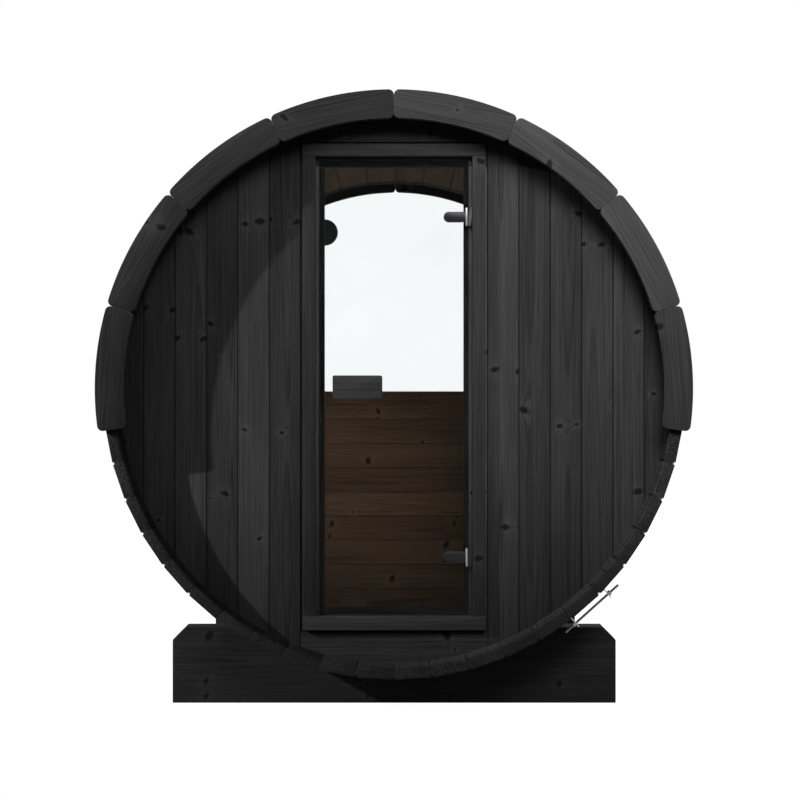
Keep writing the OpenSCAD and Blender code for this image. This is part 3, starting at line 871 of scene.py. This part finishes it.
def buildWall(
    tree, name, nodes, turn, seed, start, count=1, width=wallBoards["pitch"], half=wallBoards["past"],
    grooved=True, tones=boardLuck["tones"], slotName="stained_wood",
):
    # one unit long each way, run out by the tree
    board = meshObject("wall_board", prism(boardOutline(width, grooved), -1, 1, splitEnds=True))
    storeGrain(board.data, "yxz", (width / 2, 0, wallBoards["thickness"] / 2))
    markGrooves(board.data)
    wall = runTree(tree, name, {
        "Board": board,
        "Count": count,
        "Start": start,
        "Pitch": wallBoards["pitch"],
        "Rim": wallBoards["rim"],
        "Half Length": half,
        "Darkest": tones[0],
        "Lightest": tones[1],
        "Seed": seed,
    })
    bpy.data.objects.remove(board)
    wall.data.transform(turn)
    wall.data.shade_flat()
    settle(wall, "cabin", slotName, *nodes)


def boardFrame(across, along, inwards):
    # turns a board's own axes to these and moves it to its wall's outer face
    place = axes["z"] * axisHeight - inwards * wallBoards["outerFace"]
    return Matrix.Translation(place) @ Matrix((across, along, inwards)).transposed().to_4x4()


def buildWalls():
    tree = wallTree()
    x, y, z = axes["x"], axes["y"], axes["z"]
    rim, pitch, seed = wallBoards["rim"], wallBoards["pitch"], wallBoards["seed"]
    doorHalf, rearStart = wallBoards["doorHalf"], wallBoards["rearStart"]
    turns = {"right": boardFrame(x, -z, y), "left": boardFrame(-x, z, y)}
    for (side, turn), sideSeed in zip(turns.items(), wallBoards["sideSeeds"]):
        buildWall(
            tree, f"front_boards_{side}", [f"front_wall_{side}"], turn, sideSeed, doorHalf,
            count=math.ceil((rim - doorHalf) / pitch), tones=wallBoards["sideTones"],
        )
    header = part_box("header_board")[0][2] - axisHeight
    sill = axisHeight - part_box("sill_board")[1][2]
    ends = {
        "header": (header, boardFrame(z, x, y), seed + 2),
        "sill": (sill, boardFrame(-z, -x, y), seed + 3),
    }
    for end, (start, turn, endSeed) in ends.items():
        buildWall(
            tree, f"{end}_plank", [f"{end}_board"], turn, endSeed, start,
            width=rim - start, half=doorHalf - wallBoards["gap"], grooved=False,
        )
    rear = boardFrame(-z, x, -y)
    drop, height = wallBoards["rearFirst"]
    buildWall(tree, "rear_top_board", [], rear, seed + 4, drop, width=height, slotName="bare_wood")
    buildWall(
        tree, "rear_boards", ["rear_wall"], rear, seed + 5, rearStart,
        count=math.ceil((rim - rearStart) / pitch), slotName="bare_wood",
    )


buildWalls()
print("walls: front boards, header, sill, rear boards")


# planks of the door frame and casing, the window rail, the cradles and the handle

planks = {      # axes along, across and through the plank, its cut of the log, its tone
    "casing_left": ("zxy", (3.1, 0.02, 0.03), -0.5),
    "casing_right": ("zxy", (7.7, -0.03, 0.04), -0.3),
    "casing_head": ("xzy", (12.4, 0.01, 0.03), 0.5),
    "casing_sill": ("xzy", (17.9, -0.02, 0.05), 1.3),
    # the door frame's tones are raised as painted light: the frame sits in shade in its recess round the
    # pane
    "door_frame_left": ("zxy", (23.3, 0.03, 0.04), 2.5),
    "door_frame_right": ("zxy", (28.6, -0.01, 0.03), 3.6),
    "door_frame_head": ("xzy", (33.2, 0.02, 0.05), 0.8),
    "door_frame_sill": ("xzy", (38.8, -0.02, 0.04), 1.4),
    "cradle_front": ("xzy", (99.45, -0.02, 0.08), -0.4),
    "cradle_rear": ("xzy", (49.5, -0.06, 0.07), -0.2),
}
windowRail = ("xzy", (55.0, 0.02, 0.04), 0.5)
handleBlocks = {
    "outer": ("xzy", (61.31, 0.03, 0.05), 0.35),
    "inner": ("xzy", (66.0, -0.02, 0.06), 0.35),
}
arrises = {"casing": 0.0015, "cradle": 0.003, "rail": 0.002, "handle": 0.0025}


def dressPlank(node, name, cut, arris, material=stainedWood, slotName="stained_wood", body="cabin"):
    lie, shift, tone = cut
    piece = dressNode(node, name, arris)
    low, high = (Vector(corner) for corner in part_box(node))
    storeGrain(piece.data, lie, (low + high) / 2, shift, tone)
    piece.data.materials.append(material)
    settle(piece, body, slotName, node)


for node, cut in planks.items():
    arris = arrises["cradle" if "cradle" in node else "casing"]
    dressPlank(node, node + "_plank", cut, arris, frameWood if "frame" in node else stainedWood)
dressPlank("rear_window_rail", "window_rail_plank", windowRail, arrises["rail"], cabinWood, "bare_wood")
for side, cut in handleBlocks.items():
    dressPlank(f"door_handle_{side}", f"handle_block_{side}", cut, arrises["handle"], body="door")
print("planks: casing, frame, cradles, rail, handles")


# glass, hinges, catch, bands

panes = {"door_glass": ("door_pane", "door", 0.001), "rear_window_glass": ("rear_pane", "cabin", 0.0)}
hinge = {
    "pin": (0.256, -0.801),     # plan place
    "barrel": 0.0052,           # reach of the barrel from the pin
    "tongueArris": 0.0016,
    "leafArris": 0.0005,
}


def dressPane(node, name, body, arris):
    pane = dressNode(node, name, arris, 1)
    pane.data.materials.append(paneGlass)
    pane.data.materials.append(edgeGlass)
    for face in pane.data.polygons:
        face.material_index = int(abs(face.normal.y) <= meshRules["facing"])
    settle(pane, body, "clear_glass", node)


def dressMetal(node, name, body, arris, material, slotName="satin_steel"):
    piece = dressNode(node, name, arris)
    piece.data.materials.append(material)
    settle(piece, body, slotName, node)
    return piece


for node, (name, body, arris) in panes.items():
    dressPane(node, name, body, arris)
for level in ("upper", "lower"):
    tongue, leaf = f"hinge_tongue_{level}", f"hinge_leaf_{level}"
    plate = dressMetal(tongue, tongue + "_plate", "door", hinge["tongueArris"], plateSteel)
    plate.data.materials.append(pinSteel)
    for face in plate.data.polygons:
        face.material_index = int((Vector(hinge["pin"]) - face.center.xy).length < hinge["barrel"])
    dressMetal(leaf, leaf + "_plate", "cabin", hinge["leafArris"], leafSteel)
dressMetal("door_catch", "catch_disc", "cabin", 0.0, catchPlastic, "black_plastic")
for end in ("front", "rear"):
    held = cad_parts[f"band_{end}"].data.materials
    held.clear()
    held.append(bandSteel)


# threaded rods with their nuts, across the openings of the bands

tighteners = {
    "angle": 138.0,         # degrees from the top to the middle of the opening
    "reach": 1.058,         # axis to rod
    "along": 0.7205,        # plan centre to rod
    "length": 0.254,
    "radius": 0.005,
    "root": 0.0041,
    "pitch": 0.002,
    "crest": 0.25,          # share of the pitch
    "sides": 14,
    "nutWidth": 0.017,
    "nutHeight": 0.010,
    "nutFace": 0.95,        # share of the width left by the chamfer
    "nutStraight": 0.72,    # share of the height below the chamfers
    "nutSides": 6,
    "nutAt": 0.0845,
}


def lathe(profile, sides):
    bm = bmesh.new()        # profile is (x along, radius)
    turns = [2 * math.pi * k / sides for k in range(sides)]
    loops = []
    for x, radius in profile:
        loops.append([bm.verts.new((x, radius * math.sin(t), radius * math.cos(t))) for t in turns])
    for a, b in zip(loops, loops[1:]):
        for k in range(sides):
            n = (k + 1) % sides
            bm.faces.new((a[k], a[n], b[n], b[k]))
    bm.faces.new(loops[0])
    bm.faces.new(loops[-1])
    bmesh.ops.recalc_face_normals(bm, faces=bm.faces)
    return bm


def turnedPiece(name, half, endRadius, flat, radius, sides):
    # a short turned piece, straight over the flat part and narrower at both ends
    profile = [(-half, endRadius), (-flat, radius), (flat, radius), (half, endRadius)]
    return meshObject(name, lathe(profile, sides))


def threadTree():
    tree, sizes = newTree("threaded_rod", {
        "Ridge": "Object",
        "Nut": "Object",
        "Count": "Int",
        "Pitch": "Float",
        "Nut At": "Float",
    })
    first = times(tree, sizes["Pitch"], calc(tree, "MULTIPLY_ADD", sizes["Count"], -0.5, 0.5))
    ridges = rowOf(tree, sizes["Ridge"], sizes["Count"], first, sizes["Pitch"])
    nutAt = sizes["Nut At"]
    nuts = rowOf(tree, sizes["Nut"], 2, times(tree, nutAt, -1.0), times(tree, nutAt, 2.0))
    both = addNode(tree, "GeometryNodeJoinGeometry")
    tree.links.new(ridges, both.inputs[0])
    tree.links.new(nuts, both.inputs[0])
    closeTree(tree, realize(tree, both.outputs[0]), rodSteel)
    return tree


def buildTighteners():
    pitch, radius, root = tighteners["pitch"], tighteners["radius"], tighteners["root"]
    flat, half = tighteners["nutWidth"] / 2, tighteners["nutHeight"] / 2
    corner = flat / math.cos(math.pi / tighteners["nutSides"])
    crest, straight = tighteners["crest"] * pitch / 2, tighteners["nutStraight"] * half
    ridge = turnedPiece("ridge", pitch / 2, root, crest, radius, tighteners["sides"])
    nut = turnedPiece("nut", half, flat * tighteners["nutFace"], straight, corner, tighteners["nutSides"])
    nut.data.shade_flat()
    tree = threadTree()
    turn = Matrix.Rotation(math.radians(tighteners["angle"]), 4, "Y")
    outwards = Matrix.Translation((0, 0, tighteners["reach"]))
    for end, side in (("front", -1), ("rear", 1)):
        rod = runTree(tree, f"threaded_rod_{end}", {
            "Ridge": ridge,
            "Nut": nut,
            "Count": round(tighteners["length"] / pitch),
            "Pitch": pitch,
            "Nut At": tighteners["nutAt"],
        })
        place = Matrix.Translation((0, side * tighteners["along"], axisHeight))
        rod.data.transform(place @ turn @ outwards)
        settle(rod, "cabin", "satin_steel", f"band_tightener_{end}")
    bpy.data.objects.remove(ridge)
    bpy.data.objects.remove(nut)


buildTighteners()
print("fittings: panes, hinges, catch, bands, tighteners")


# floor, light and camera

stage = {
    "ambient": 0.08,
    "indoors": 0.185,       # share of the white seen by light off the boards through a pane
    "floorSize": 40,
    "floorSplits": 8,
    "floorTone": 0.2,
    "floorGlow": 0.985,
}
lamps = {
    "key": {
        "kind": "SPOT",
        "power": 17100.0,
        "radius": 0.225,
        "beam": 23.2,       # degrees; the cone ends on the right wall, as the light in the photograph does
        "blend": 0.031,
        "place": (-18.15, -8.15, 10.3),
        "aim": (-7.3, -0.8, 4.4),
    },
    "fill": {
        "kind": "AREA",
        "power": 23.0,
        "size": 1.8,
        "spread": 64.0,
        "place": (0.8, -3.8, 3.5),
        "aim": (1.0, -0.8, 1.75),
    },
    "rear": {
        "kind": "AREA",
        "power": 850.0,
        "size": 3.0,
        "spread": 180.0,
        "place": (6.5, 5.5, 6.0),
        "aim": (0.0, 0.0, 1.1),
    },
}
view = {"place": (0.021, -5.953, 1.096), "lens": 65.8, "sensor": 36}


def whiteRays(tree):
    seen = addNode(tree, "ShaderNodeLightPath").outputs
    either = calc(tree, "MAXIMUM", seen["Is Camera Ray"], seen["Is Glossy Ray"])
    either = calc(tree, "MAXIMUM", either, seen["Is Transmission Ray"])
    # daylight through the panes stays low
    scattered = calc(tree, "GREATER_THAN", seen["Diffuse Depth"], 0.5)
    return times(tree, either, calc(tree, "MULTIPLY_ADD", scattered, stage["indoors"] - 1.0, 1.0))


def buildFloor():
    bm = bmesh.new()
    splits = stage["floorSplits"]
    bmesh.ops.create_grid(bm, x_segments=splits, y_segments=splits, size=stage["floorSize"])
    floor = meshObject("studio_floor", bm)
    material = bpy.data.materials.new("studio_floor")
    material.use_nodes = True
    tree = material.node_tree
    tree.nodes.clear()
    matte = addNode(tree, "ShaderNodeBsdfDiffuse", {"Color": (stage["floorTone"],) * 3 + (1,)})
    strength = times(tree, whiteRays(tree), stage["floorGlow"])
    glow = addNode(tree, "ShaderNodeEmission", {"Color": (1, 1, 1, 1), "Strength": strength})
    both = addNode(tree, "ShaderNodeAddShader", {0: matte.outputs[0], 1: glow.outputs[0]})
    addNode(tree, "ShaderNodeOutputMaterial", {"Surface": both.outputs[0]})
    floor.data.materials.append(material)


def buildWorld():
    world = bpy.data.worlds.new("studio")
    scene.world = world
    world.use_nodes = True
    tree = world.node_tree
    background = tree.nodes["Background"]
    background.inputs["Color"].default_value = (1, 1, 1, 1)
    strength = calc(tree, "MULTIPLY_ADD", whiteRays(tree), 1.0 - stage["ambient"], stage["ambient"])
    tree.links.new(strength, background.inputs["Strength"])


def addLamp(name, setting):
    lamp = bpy.data.lights.new(name, setting["kind"])
    lamp.energy = setting["power"]
    if setting["kind"] == "SPOT":
        lamp.shadow_soft_size = setting["radius"]
        lamp.spot_size = math.radians(setting["beam"])
        lamp.spot_blend = setting["blend"]
    else:
        lamp.size = setting["size"]
        lamp.spread = math.radians(setting["spread"])
    light = bpy.data.objects.new(name, lamp)
    light.location = setting["place"]
    light.rotation_euler = (Vector(setting["aim"]) - light.location).to_track_quat("-Z", "Y").to_euler()
    scene.collection.objects.link(light)


def addCamera():
    lens = bpy.data.cameras.new("photo_view")
    lens.lens = view["lens"]
    lens.sensor_width = view["sensor"]
    camera = bpy.data.objects.new("photo_view", lens)
    camera.location = view["place"]
    camera.rotation_euler = (math.pi / 2, 0, 0)
    scene.collection.objects.link(camera)
    scene.camera = camera


buildFloor()
buildWorld()
for name, setting in lamps.items():
    addLamp(name, setting)
addCamera()
print("stage: floor, lights, camera")
